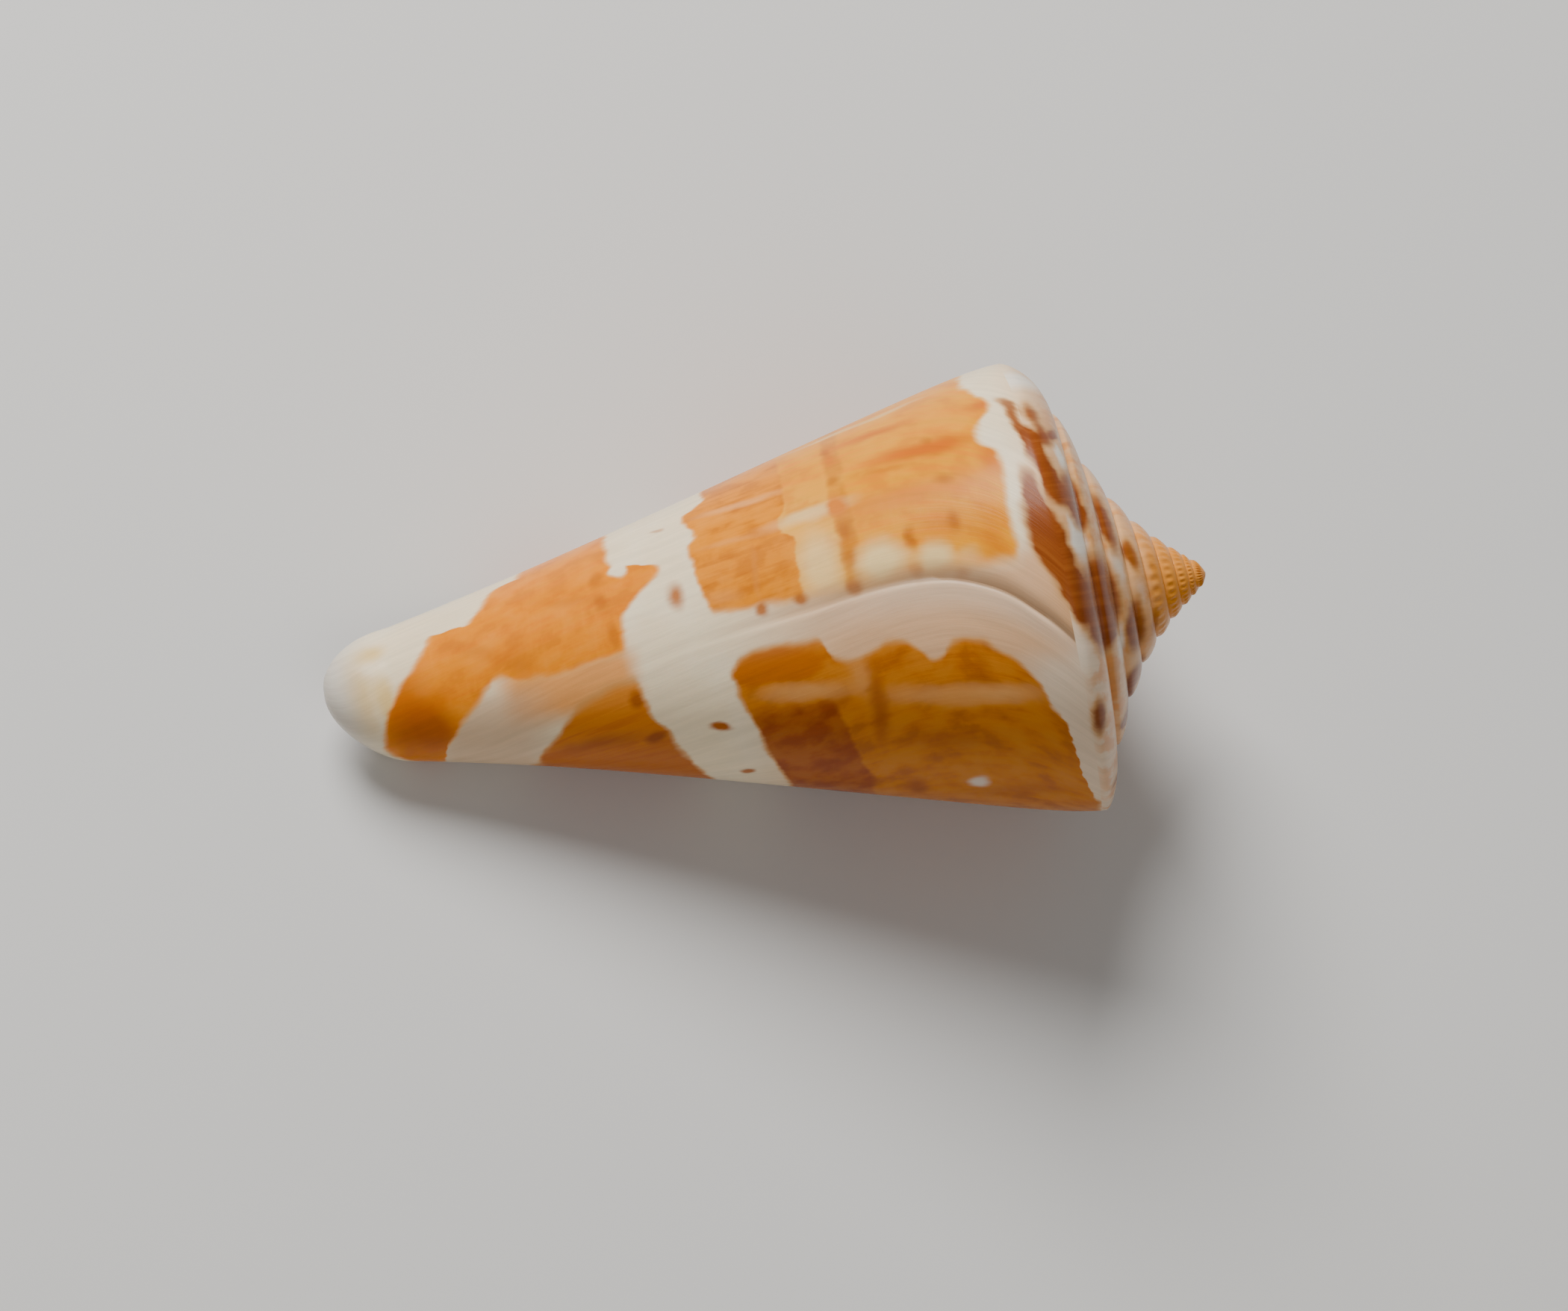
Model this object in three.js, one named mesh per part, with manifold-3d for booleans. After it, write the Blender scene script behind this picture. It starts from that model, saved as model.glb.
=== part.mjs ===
// Cone shell, Conus carioca, lying on its aperture. Millimetres, +Z up, +X towards the apex.
// The shell is one spiral wall round a coil axis. An age is counted in turns from the lip,
// 0 at the lip and negative before it. A height runs along the axis from the front tip.
import * as THREE from "three";
import { mergeVertices } from "three/addons/utils/BufferGeometryUtils.js";
import Module from "manifold-3d";

// Whole shell
const SHELL_LENGTH = 40;
const FIRST_AGE = -9;
const LARVAL_TURNS = 0.5;

// Shoulder of the whorls: its radius grows by a constant share each turn, then slows
const FULL_RADIUS = 12.07;
const GROWTH_PER_TURN = 0.345;
const SLOWING_AGE = -0.8;
const SLOWING = 0.415;
const SHOULDER_DROP = 2.72;

// Spire: stepped and concave, with a blunt top
const SPIRE_RISE = 1.33;
const APEX_WIDTH = 1;
const ATTACH_DEPTH = 0.1;
const RAMP_CORNER = 3;
const LAST_RAMP_CORNER = 2.5;
const RAMP_FALL = 0.75;

// Flank: a straight cone below a rounded shoulder, round at the front tip
const FLANK_SLOPE = 0.286;
const SHOULDER_ROUND = 2.2;
const COLUMELLA_RADIUS = 1.4;
const COLUMELLA_REACH = 6;
const TIP_LENGTH = 3.2;
const TIP_ROUNDNESS = 2.2;
const TIP_LEAN_SIDE = 0.75;
const TIP_LEAN_BACK = 1.2;
const TIP_LEAN_REACH = 3.2;

// Edge of the lip: degrees that it runs ahead of its top end, against the share of the height
const LIP_COURSE = [
  [0, -72],
  [0.06, -46],
  [0.12, -29],
  [0.2, -14],
  [0.32, 4],
  [0.46, 14],
  [0.66, 21],
  [0.82, 23],
  [0.9, 18],
  [0.96, 9],
  [1, 0],
];

// Old lip: a ridge and a groove where growth once stopped
const SCAR_AGE = -0.394;
const SCAR_RIDGE = 0.16;
const SCAR_GROOVE = 0.14;
const SCAR_RIDGE_TURNS = 0.007;
const SCAR_GROOVE_TURNS = 0.014;

// Aperture: the slit between the last whorl and the one inside it
const WALL = 0.85;
const LIP_WALL = 0.34;
const LIP_THINNING_TURNS = 0.09;
const CAVITY_BACK_AGE = -0.7;
const CAVITY_FULL_AGE = -0.5;
const CAVITY_FRONT_AGE = 0.1;
const FLOOR_CUT = 0.12;
const FLOOR_EXIT = 0.35;
const SCOOP_CENTRE = [-1.6, 0.35, -0.1];
const SCOOP_SIZE = [4, 3.3, 2.3];
const SCOOP_TILT = 30;
const COLUMELLA_END = 0.7;
const COLUMELLA_TAPER = 2.6;

// Rest: degrees from straight up round the coil axis, and the lift of the apex end
const LIP_TOP_ANGLE = 114.6;
const APEX_LIFT = 13.6;
const FLAT_DEPTH = 0.15;

// Steps of the mesh
const STEPS_PER_TURN = 28;
const SCAR_STEPS = [-0.022, -0.0015, 0.0025, 0.03];
const RAMP_STEPS = [0, 0.3, 0.6, 0.82, 0.95, 1];
const FLANK_STEPS = [
  0.98, 0.955, 0.92, 0.87, 0.79, 0.69, 0.6, 0.5, 0.4, 0.3, 0.22, 0.15, 0.1, 0.065, 0.045, 0.028, 0.014,
  0.005, 0,
];
const CAVITY_STEPS = 26;
const CAVITY_RAMP_ROWS = [0.3, 0.6, 0.85, 0.96];
const CAVITY_FLANK_ROWS = [
  0.97, 0.92, 0.85, 0.74, 0.62, 0.5, 0.38, 0.27, 0.18, 0.11, 0.06, 0.035, 0.018, 0.006, -0.02,
];

const RADIANS = Math.PI / 180;
const TURN = 2 * Math.PI;
const clampShare = (value) => Math.min(1, Math.max(0, value));
const easeShare = (value) => clampShare(value) ** 2 * (3 - 2 * clampShare(value));
const blend = (from, to, share) => from + (to - from) * share;

// Shoulder
function shoulderRadius(age) {
  const slowed = age - SLOWING * Math.max(0, age - SLOWING_AGE) ** 2;
  const larval = Math.sqrt(clampShare((age - FIRST_AGE) / LARVAL_TURNS));
  return FULL_RADIUS * Math.exp(GROWTH_PER_TURN * slowed) * larval;
}

function shoulderHeight(age) {
  const fall = SPIRE_RISE * Math.log(1 + (shoulderRadius(age) / APEX_WIDTH) ** 2);
  return SHELL_LENGTH - fall - SHOULDER_DROP * Math.max(0, age - SLOWING_AGE) ** 2;
}

const whorlWidth = (age) => shoulderRadius(age) - shoulderRadius(age - 1);

// Flank below the shoulder, and the round front tip
function flankRadius(height, age) {
  const depth = Math.max(0, shoulderHeight(age) - height);
  const rounded = depth - SHOULDER_ROUND * (1 - Math.exp(-depth / SHOULDER_ROUND));
  const cone = Math.max(0, shoulderRadius(age) - FLANK_SLOPE * rounded);
  return Math.hypot(cone, COLUMELLA_RADIUS * (1 - Math.exp(-depth / COLUMELLA_REACH)));
}

function tipShare(height) {
  const past = clampShare((TIP_LENGTH - height) / TIP_LENGTH);
  return (1 - past ** TIP_ROUNDNESS) ** (1 / TIP_ROUNDNESS);
}

// Relief of the old lip, which fades towards the shoulder and the front tip
function scarRelief(share, age) {
  const past = age - SCAR_AGE;
  const relief =
    past < 0
      ? SCAR_RIDGE * Math.exp(past / SCAR_RIDGE_TURNS)
      : -SCAR_GROOVE * Math.exp(-past / SCAR_GROOVE_TURNS);
  return relief * easeShare((share - 0.25) / 0.4) * easeShare((1 - share) / 0.05);
}

// Where the next whorl attaches, just below this whorl's shoulder
function attachPoint(age) {
  const height = shoulderHeight(age) - ATTACH_DEPTH * whorlWidth(age);
  return { radius: flankRadius(height, age), height };
}

// Sutural ramp, from the whorl inside out to the shoulder
function rampPoint(share, age) {
  const suture = attachPoint(age - 1);
  const corner = blend(RAMP_CORNER, LAST_RAMP_CORNER, easeShare((age + 0.7) / 0.5));
  const fall = (1 - share ** corner) ** RAMP_FALL;
  return {
    radius: blend(suture.radius, shoulderRadius(age), share),
    height: blend(shoulderHeight(age), suture.height, fall),
  };
}

function flankPoint(share, age) {
  const height = share * attachPoint(age).height;
  const radius = flankRadius(height, age) + scarRelief(share, age);
  return { radius: radius * tipShare(height), height };
}

// Degrees by which the growth lines run ahead at a share of the height
function lipAdvance(share) {
  const next = LIP_COURSE.findIndex(([at]) => at >= share);
  if (next <= 0) return LIP_COURSE[0][1];
  const [low, before] = LIP_COURSE[next - 1];
  const [high, after] = LIP_COURSE[next];
  return blend(before, after, (share - low) / (high - low));
}

// A point of the wall in space: X along the coil axis, angles from +Z towards +Y
function place({ radius, height }, age, advance = 0) {
  const angle = (LIP_TOP_ANGLE + advance) * RADIANS + TURN * age;
  const lean = Math.max(0, 1 - height / TIP_LEAN_REACH) ** 1.5;
  return [
    height,
    radius * Math.sin(angle) + TIP_LEAN_SIDE * lean,
    radius * Math.cos(angle) + TIP_LEAN_BACK * lean,
  ];
}

// Closed meshes
function quadStrip(triangles, first, second) {
  for (let i = 0; i + 1 < first.length; i++) {
    triangles.push(first[i], second[i + 1], second[i], first[i], first[i + 1], second[i + 1]);
  }
}

function sheet(triangles, rows) {
  for (let j = 0; j + 1 < rows.length; j++) quadStrip(triangles, rows[j], rows[j + 1]);
}

function geometryOf(triangles) {
  const positions = new Float32Array(triangles.flat());
  const loose = new THREE.BufferGeometry();
  loose.setAttribute("position", new THREE.BufferAttribute(positions, 3));
  return loose;
}

const wasm = await Module();
wasm.setup();

function solidOf(geometry) {
  const bare = geometry.clone();
  bare.deleteAttribute("normal");
  bare.deleteAttribute("uv");
  const merged = mergeVertices(bare, 1e-4);
  const corners = merged.index.array;
  const kept = [];
  for (let i = 0; i < corners.length; i += 3) {
    const [a, b, c] = corners.slice(i, i + 3);
    if (a !== b && b !== c && c !== a) kept.push(a, b, c);
  }
  const mesh = new wasm.Mesh({
    numProp: 3,
    vertProperties: merged.attributes.position.array,
    triVerts: new Uint32Array(kept),
  });
  return new wasm.Manifold(mesh);
}

function geometryFrom(solid) {
  const mesh = solid.getMesh();
  const geometry = new THREE.BufferGeometry();
  geometry.setAttribute("position", new THREE.BufferAttribute(mesh.vertProperties, 3));
  geometry.setIndex(new THREE.BufferAttribute(mesh.triVerts, 1));
  return geometry;
}

// Ages of the mesh columns, the same in every turn so that each whorl meets the next
function columnAges() {
  const scarShare = 1 + SCAR_AGE;
  const even = Array.from({ length: STEPS_PER_TURN }, (_, i) => i / STEPS_PER_TURN);
  const clear = even.filter((share) => Math.abs(share - scarShare - 0.004) > 0.026);
  const scar = SCAR_STEPS.map((step) => scarShare + step);
  const shares = [...clear, ...scar].sort((a, b) => a - b);
  const ages = [];
  for (let turn = FIRST_AGE; turn < 0; turn++) ages.push(...shares.map((share) => turn + share));
  return { ages: [...ages, 0], perTurn: shares.length };
}

// Outer form: the spiral ramp, the last whorl's flank, and a plain wall across the lip
function outerForm() {
  const { ages, perTurn } = columnAges();
  const lastTurn = ages.slice(-perTurn - 1);
  const ramp = RAMP_STEPS.map((share) => ages.map((age) => place(rampPoint(share, age), age)));
  ramp.push(ages.map((age) => place(attachPoint(age), age)));
  const shares = [1, ...FLANK_STEPS];
  const flank = shares.map((share) =>
    lastTurn.map((age) => place(flankPoint(share, age), age, lipAdvance(share))),
  );
  const triangles = [];
  sheet(triangles, ramp);
  sheet(triangles, flank);
  const outerEdge = [...ramp, ...flank.slice(1)].map((row) => row.at(-1));
  const innerEdge = [...ramp.map(() => flank[0][0]), ...flank.slice(1).map((row) => row[0])];
  quadStrip(triangles, innerEdge, outerEdge);
  return solidOf(geometryOf(triangles));
}

// Wall thickness, thinner towards the lip and the front tip
function wallAt(height, age) {
  const byLip = blend(LIP_WALL, WALL, easeShare(-age / LIP_THINNING_TURNS));
  return blend(0.8 * LIP_WALL, byLip, easeShare(height / 7));
}

// Cavity: outer sheet inside the last whorl's wall, inner sheet on the whorl within
function cavityRows() {
  return [
    ...CAVITY_RAMP_ROWS.map((ramp) => ({ ramp })),
    ...CAVITY_FLANK_ROWS.map((flank) => ({ flank })),
  ];
}

function cavityOuter(row, age) {
  const grown = Math.min(age, 0);
  if (row.ramp !== undefined) {
    const point = rampPoint(row.ramp, grown);
    const wall = wallAt(point.height, age);
    const side = easeShare((row.ramp - 0.5) / 0.5);
    return { radius: point.radius - wall * side, height: point.height - wall * (1.3 - side) };
  }
  const height = row.flank * attachPoint(grown).height;
  const radius = flankRadius(height, grown) * tipShare(height) - wallAt(height, age);
  return { radius: Math.max(radius, innerRadius(height, age) + 0.1), height };
}

// Radius of the whorl within, tapered to the end of the columella
function innerRadius(height, age) {
  const taper = clampShare((height - COLUMELLA_END) / COLUMELLA_TAPER) ** 0.5;
  return flankRadius(height, age - 1) * taper;
}

function cavityInner(row, age) {
  const suture = attachPoint(Math.min(age, 0) - 1);
  const cut = blend(-FLOOR_CUT, FLOOR_EXIT, clampShare(age / CAVITY_FRONT_AGE));
  if (row.ramp !== undefined) {
    const height = suture.height - WALL * (1.1 + row.ramp);
    return { radius: innerRadius(height, age) + cut, height };
  }
  const top = suture.height - WALL * 2.3;
  const height = Math.min(row.flank * attachPoint(Math.min(age, 0)).height, top - 0.4 + row.flank);
  return { radius: Math.max(0.05, innerRadius(height, age) + cut), height };
}

function cavityForm() {
  const ages = Array.from({ length: CAVITY_STEPS + 1 }, (_, i) =>
    blend(CAVITY_BACK_AGE, CAVITY_FRONT_AGE, i / CAVITY_STEPS),
  );
  const outer = [];
  const inner = [];
  for (const row of cavityRows()) {
    const advance = lipAdvance(row.flank === undefined ? 1 : Math.max(0, row.flank));
    const pair = ages.map((age) => {
      const near = cavityInner(row, age);
      const far = cavityOuter(row, age);
      const open = easeShare((age - CAVITY_BACK_AGE) / (CAVITY_FULL_AGE - CAVITY_BACK_AGE));
      const span = {
        radius: blend(near.radius, far.radius, blend(0.04, 1, open)),
        height: blend(near.height, far.height, open),
      };
      return [place(span, age, advance), place(near, age, advance)];
    });
    outer.push(pair.map(([far]) => far));
    inner.push(pair.map(([, near]) => near));
  }
  const triangles = [];
  sheet(triangles, outer);
  sheet(triangles, inner.map((row) => [...row].reverse()));
  quadStrip(triangles, inner[0], outer[0]);
  quadStrip(triangles, outer.at(-1), inner.at(-1));
  quadStrip(triangles, outer.map((row) => row[0]), inner.map((row) => row[0]));
  quadStrip(triangles, inner.map((row) => row.at(-1)), outer.map((row) => row.at(-1)));
  return solidOf(geometryOf(triangles));
}

// Scoop: opens the slit at the front tip and leaves the thin back wall
function scoopForm() {
  const ball = new THREE.SphereGeometry(1, 20, 14);
  ball.scale(...SCOOP_SIZE);
  ball.rotateY(SCOOP_TILT * RADIANS);
  ball.translate(...SCOOP_CENTRE);
  return solidOf(ball);
}

// Shell turned to its rest, with a small flat where it touches
function restingShell() {
  const body = outerForm().subtract(cavityForm()).subtract(scoopForm());
  const geometry = geometryFrom(body);
  geometry.rotateY(-APEX_LIFT * RADIANS);
  geometry.computeBoundingBox();
  const { min, max } = geometry.boundingBox;
  geometry.translate(-(min.x + max.x) / 2, -(min.y + max.y) / 2, -min.z - FLAT_DEPTH);
  const below = new THREE.BoxGeometry(100, 100, 10);
  below.translate(0, 0, -5);
  return geometryFrom(solidOf(geometry).subtract(solidOf(below)));
}

const glazedShell = new THREE.MeshStandardMaterial({
  color: 0xe0a35c,
  roughness: 0.35,
  metalness: 0,
});

const shell = new THREE.Mesh(restingShell(), glazedShell);
shell.name = "shell";

const coneShell = new THREE.Group();
coneShell.add(shell);

export default coneShell;
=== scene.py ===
import math
from types import SimpleNamespace

import bpy
from mathutils import Matrix, Vector


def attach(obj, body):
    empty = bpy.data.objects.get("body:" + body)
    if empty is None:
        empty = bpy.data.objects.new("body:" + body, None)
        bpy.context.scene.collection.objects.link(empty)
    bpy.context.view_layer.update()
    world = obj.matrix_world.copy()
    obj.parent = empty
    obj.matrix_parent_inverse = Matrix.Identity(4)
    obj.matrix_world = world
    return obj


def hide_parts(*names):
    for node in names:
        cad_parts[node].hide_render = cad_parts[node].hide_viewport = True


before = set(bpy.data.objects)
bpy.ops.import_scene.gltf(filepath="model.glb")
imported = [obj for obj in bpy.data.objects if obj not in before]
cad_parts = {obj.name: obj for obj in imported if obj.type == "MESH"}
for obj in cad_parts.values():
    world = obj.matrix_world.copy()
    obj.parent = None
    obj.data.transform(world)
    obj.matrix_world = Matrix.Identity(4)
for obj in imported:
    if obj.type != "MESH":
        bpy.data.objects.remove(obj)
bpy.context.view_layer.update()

# The formulas are in millimetres and the mesh is in metres
MM = 0.001
UNSCALED = (1000, 1000, 1000)

# Rest: the shell lies on its aperture side. Degrees, and millimetres for the front end of the coil axis
LIP_TOP_ANGLE = 114.6
APEX_LIFT = 13.6
REST_SHIFT = Vector((-19.2855, -0.5388, 0.9147))
# The floor's block that cuts the resting flat: its size in metres, and how deep its middle lies in mm
GROUND_SIZE = (0.1, 0.1, 0.02)
GROUND_DEPTH = 10

# The view: degrees from +Z towards +Y that the camera looks from, the millimetres along the coil axis and
# across it that it looks at, its distance in metres, and the degrees that the axis is tilted in the picture
VIEW_ANGLE = -14.4
FRAME_HEIGHT = 20.64
FRAME_SIDE = -0.51
CAMERA_DISTANCE = 0.1964
AXIS_TILT = 9.5
LENS_MM = 100
SENSOR_MM = 36

# Sizes of the shell in millimetres; ages are in turns from the lip, 0 at the lip and negative before it
SHELL = {
    "Shell length": 40,
    "First age": -9,
    "Larval turns": 0.5,
    "Full radius": 12.07,
    "Growth per turn": 0.345,
    "Slowing age": -0.8,
    "Slowing": 0.415,
    "Shoulder drop": 2.72,
    "Spire rise": 1.33,
    "Apex width": 1,
    "Attach depth": 0.1,
    "Ramp corner": 1.5,
    "Last ramp corner": 2.1,
    "Ramp fall": 0.75,
    "Flank slope": 0.286,
    "Shoulder round": 2.2,
    "Columella radius": 1.4,
    "Columella reach": 6,
    "Tip length": 3.2,
    "Tip roundness": 2.2,
    "Tip lean side": 0.75,
    "Tip lean back": 1.2,
    "Scar age": -0.394,
    "Scar ridge": 0.11,
    "Scar ridge turns": 0.007,
    "Scar groove": 0.14,
    "Scar groove turns": 0.014,
    "Wall": 0.85,
    "Lip wall": 0.34,
    "Lip thinning turns": 0.09,
    "Cavity back age": -0.7,
    "Cavity full age": -0.5,
    "Cavity front age": 0.1,
    "Floor cut": 0.12,
    "Floor exit": 0.35,
    "Columella end": 0.7,
    "Columella taper": 2.6,
}
# Rows and columns of the mesh sheets
COUNTS = {
    "Steps per turn": 240,
    "Ramp rows": 12,
    "Flank rows": 110,
    "Cavity columns": 150,
    "Cavity rows": 60,
}
# How far rows crowd towards the shoulder and the front tip, and columns towards the old lip's narrow ridge
RAMP_CROWDING = 0.5
FLANK_CROWDING = 0.8
SCAR_CROWDING = 0.7
# The ramp's last row, where the next whorl attaches, has a share above this
LAST_ROW = 1.0001
# Metres within which points of neighbouring sheets become one
WELD = 1e-6
# Radians between two faces, past which the edge between them shows as a corner
SHARP_BEND = 0.9
# Age and turns over which the ramp changes to the last whorl's crisper corner
LAST_CORNER_AGE, LAST_CORNER_TURNS = -1.1, 0.5
# Beads on the shoulders of the early whorls: number, rise in mm, last age, turns of fading, place on the ramp
BEADS_PER_TURN = 32
BEAD_RISE = 0.02
BEADED_AGE, BEAD_FADE = -3.2, 1.5
BEAD_PLACE, BEAD_EDGE = (0.5, 0.85), 0.12
# The old lip's relief: turns of its step, and the shares of the height over which it rises and ends
SCAR_STEP = (-0.0015, 0.003)
SCAR_RISE = (0.42, 0.82)
SCAR_END = 0.05
# Power by which the front end leans off the coil axis
LEAN_POWER = 1.5

# The cavity: share of its rows under the ramp, and the part of the ramp that they cover
CAVITY_RAMP_SHARE = 0.15
CAVITY_RAMP = (0.3, 0.96)
# Its flank rows: highest share of the height, share down to the front end, and crowding
CAVITY_TOP, CAVITY_REACH, CAVITY_CROWDING = 0.975, 0.995, 0.8
# Walls between the far sheet and the ramp, and between the suture and the near sheet
FAR_WALLS, NEAR_WALLS, NEAR_FLANK_WALLS = 1.3, 1.1, 2.3
# Millimetres that keep the near flank below the near ramp, the two sheets apart, and both off the axis
NEAR_DROP, SHEET_GAP, AXIS_GAP = 0.4, 0.1, 0.05
# Share of its width that the far sheet keeps where the cavity closes
CLOSED_WIDTH = 0.04
# Share of the lip's wall at the front tip, and the height in mm where it reaches the full wall
TIP_WALL, TIP_WALL_HEIGHT = 0.8, 7
# The scoop that opens the front end: centre and half sizes in mm, tilt in degrees
SCOOP_CENTRE = (-1.6, 0.35, -0.1)
SCOOP_SIZE = (4, 3.3, 2.3)
SCOOP_TILT = 30

# Border of the front skin in mm along the axis, and how it leans below a distance across
BAND_MIDDLE, BAND_BEND, BAND_SLOPE = 16.7, 1.5, 0.17

# Degrees that the lip runs ahead of its top end, against the share of the height
LIP_COURSE = [
    (0, -72), (0.06, -46), (0.12, -29), (0.2, -14), (0.32, 4), (0.46, 14),
    (0.66, 21), (0.82, 23), (0.9, 18), (0.96, 9), (1, 0),
]
LIP_COURSE_LOW = -80
LIP_COURSE_SPAN = 110


def add(tree, kind, inputs=(), **settings):
    """Adds a node with its settings; inputs are values or sockets, by position or by name."""
    made = tree.nodes.new(kind)
    for name, value in settings.items():
        setattr(made, name, value)
    pairs = inputs.items() if isinstance(inputs, dict) else enumerate(inputs)
    for place, value in pairs:
        socket = value.socket if isinstance(value, Value) else value
        if isinstance(socket, bpy.types.NodeSocket):
            tree.links.new(socket, made.inputs[place])
        elif socket is not None:
            made.inputs[place].default_value = socket
    return made


class Value:
    """A number in a node tree, with arithmetic."""

    def __init__(self, tree, socket):
        self.tree = tree
        self.socket = socket

    def math(self, operation, *others, first=None):
        terms = [self, *others] if first is None else [first, self]
        return Value(self.tree, add(self.tree, "ShaderNodeMath", terms, operation=operation).outputs[0])

    def __add__(self, other):
        return self.math("ADD", other)

    def __sub__(self, other):
        return self.math("SUBTRACT", other)

    def __mul__(self, other):
        return self.math("MULTIPLY", other)

    def __truediv__(self, other):
        return self.math("DIVIDE", other)

    def __pow__(self, other):
        return self.math("POWER", other)

    def __rsub__(self, other):
        return self.math("SUBTRACT", first=other)

    def __rtruediv__(self, other):
        return self.math("DIVIDE", first=other)

    def __neg__(self):
        return self.math("MULTIPLY", -1)

    __radd__ = __add__
    __rmul__ = __mul__

    def above(self, low):
        return self.math("MAXIMUM", low)

    def below(self, high):
        return self.math("MINIMUM", high)

    def share(self):
        return self.above(0).below(1)

    def ease(self, start=0, end=1):
        """Smooth step from 0 at start to 1 at end."""
        inputs = {"Value": self, 1: start, 2: end, 3: 0, 4: 1}
        made = add(self.tree, "ShaderNodeMapRange", inputs, interpolation_type="SMOOTHSTEP")
        return Value(self.tree, made.outputs[0])

    def exp(self):
        return self.math("EXPONENT")

    def blend(self, start, end):
        return start + (end - start) * self


def formula(name, arguments, results):
    """Keeps a function of the shell's sizes in a node group of its own, made once."""
    def wrap(function):
        def build():
            tree = bpy.data.node_groups.new(name, "GeometryNodeTree")
            for result in results:
                tree.interface.new_socket(result, in_out="OUTPUT", socket_type="NodeSocketFloat")
            for argument in [*arguments, *SHELL]:
                tree.interface.new_socket(argument, in_out="INPUT", socket_type="NodeSocketFloat")
            start = tree.nodes.new("NodeGroupInput")
            values = {item.name: Value(tree, item) for item in start.outputs if item.name}
            given = [values[argument] for argument in arguments]
            made = function({size: values[size] for size in SHELL}, *given)
            add(tree, "NodeGroupOutput", made)
            return tree

        def use(size, *given):
            tree = bpy.data.node_groups.get(name) or build()
            inputs = {**dict(zip(arguments, given)), **size}
            made = add(given[0].tree, "GeometryNodeGroup", inputs, node_tree=tree)
            values = [Value(given[0].tree, output) for output in made.outputs]
            return values if len(values) > 1 else values[0]

        return use

    return wrap


def float_curve(value, points):
    """Reads a curve through points that run from 0 to 1 both ways."""
    made = add(value.tree, "ShaderNodeFloatCurve", {"Value": value})
    curve = made.mapping.curves[0]
    made.mapping.use_clip = False
    made.mapping.extend = "HORIZONTAL"
    for place, (x, y) in enumerate(points):
        if place < 2:
            curve.points[place].location = (x, y)
        else:
            curve.points.new(x, y)
    made.mapping.update()
    return Value(value.tree, made.outputs[0])


def lip_course(share):
    """Degrees that the lip runs ahead of its top end, at a share of the height."""
    points = [(at, (turned - LIP_COURSE_LOW) / LIP_COURSE_SPAN) for at, turned in LIP_COURSE]
    return float_curve(share.share(), points) * LIP_COURSE_SPAN + LIP_COURSE_LOW


@formula("Lip advance", ["Share"], ["Degrees"])
def lip_advance(size, share):
    return [lip_course(share)]


@formula("Shoulder", ["Age"], ["Radius", "Height"])
def shoulder(size, age):
    late = (age - size["Slowing age"]).above(0)
    slowed = age - size["Slowing"] * late * late
    larval = ((age - size["First age"]) / size["Larval turns"]).share() ** 0.5
    radius = size["Full radius"] * (size["Growth per turn"] * slowed).exp() * larval
    wide = radius / size["Apex width"]
    fall = size["Spire rise"] * (wide * wide + 1).math("LOGARITHM", math.e)
    return [radius, size["Shell length"] - fall - size["Shoulder drop"] * late * late]


@formula("Flank radius", ["Height", "Age"], ["Radius"])
def flank_radius(size, height, age):
    top_radius, top_height = shoulder(size, age)
    depth = (top_height - height).above(0)
    bend = size["Shoulder round"]
    rounded = depth - bend * (1 - (-depth / bend).exp())
    cone = (top_radius - size["Flank slope"] * rounded).above(0)
    column = size["Columella radius"] * (1 - (-depth / size["Columella reach"]).exp())
    return [(cone * cone + column * column) ** 0.5]


@formula("Tip share", ["Height"], ["Share"])
def tip_share(size, height):
    """Share of the radius that the rounded front tip leaves."""
    past = ((size["Tip length"] - height) / size["Tip length"]).share()
    return [(1 - past ** size["Tip roundness"]).above(0) ** (1 / size["Tip roundness"])]


@formula("Attach point", ["Age"], ["Radius", "Height"])
def attach_point(size, age):
    """Where the next whorl attaches, just below this whorl's shoulder."""
    radius, height = shoulder(size, age)
    height = height - size["Attach depth"] * (radius - shoulder(size, age - 1)[0])
    return [flank_radius(size, height, age), height]


@formula("Ramp point", ["Share", "Age"], ["Radius", "Height"])
def ramp_point(size, share, age):
    """Sutural ramp, from the whorl inside out to the shoulder."""
    suture_radius, suture_height = attach_point(size, age - 1)
    top_radius, top_height = shoulder(size, age)
    last = (age - LAST_CORNER_AGE).ease(0, LAST_CORNER_TURNS)
    corner = last.blend(size["Ramp corner"], size["Last ramp corner"])
    fall = (1 - share ** corner).above(0) ** size["Ramp fall"]
    beads = (age * (360 * math.radians(BEADS_PER_TURN))).math("SINE")
    beads = beads * (age - BEADED_AGE).ease(0, -BEAD_FADE) * share.ease(*BEAD_PLACE)
    beads = beads * (1 - share).ease(0, BEAD_EDGE) * BEAD_RISE
    return [
        share.blend(suture_radius, top_radius) + beads,
        fall.blend(top_height, suture_height) + beads,
    ]


@formula("Relief of the old lip", ["Share", "Age"], ["Relief"])
def scar_relief(size, share, age):
    past = age - size["Scar age"]
    before = size["Scar ridge"] * (past.below(0) / size["Scar ridge turns"]).exp()
    after = size["Scar groove"] * (-past.above(0) / size["Scar groove turns"]).exp()
    relief = past.ease(*SCAR_STEP).blend(before, -after)
    return [relief * share.ease(*SCAR_RISE) * (1 - share).ease(0, SCAR_END)]


@formula("Flank point", ["Share", "Age"], ["Radius", "Height"])
def flank_point(size, share, age):
    height = share * attach_point(size, age)[1]
    radius = flank_radius(size, height, age) + scar_relief(size, share, age)
    return [radius * tip_share(size, height), height]


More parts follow.
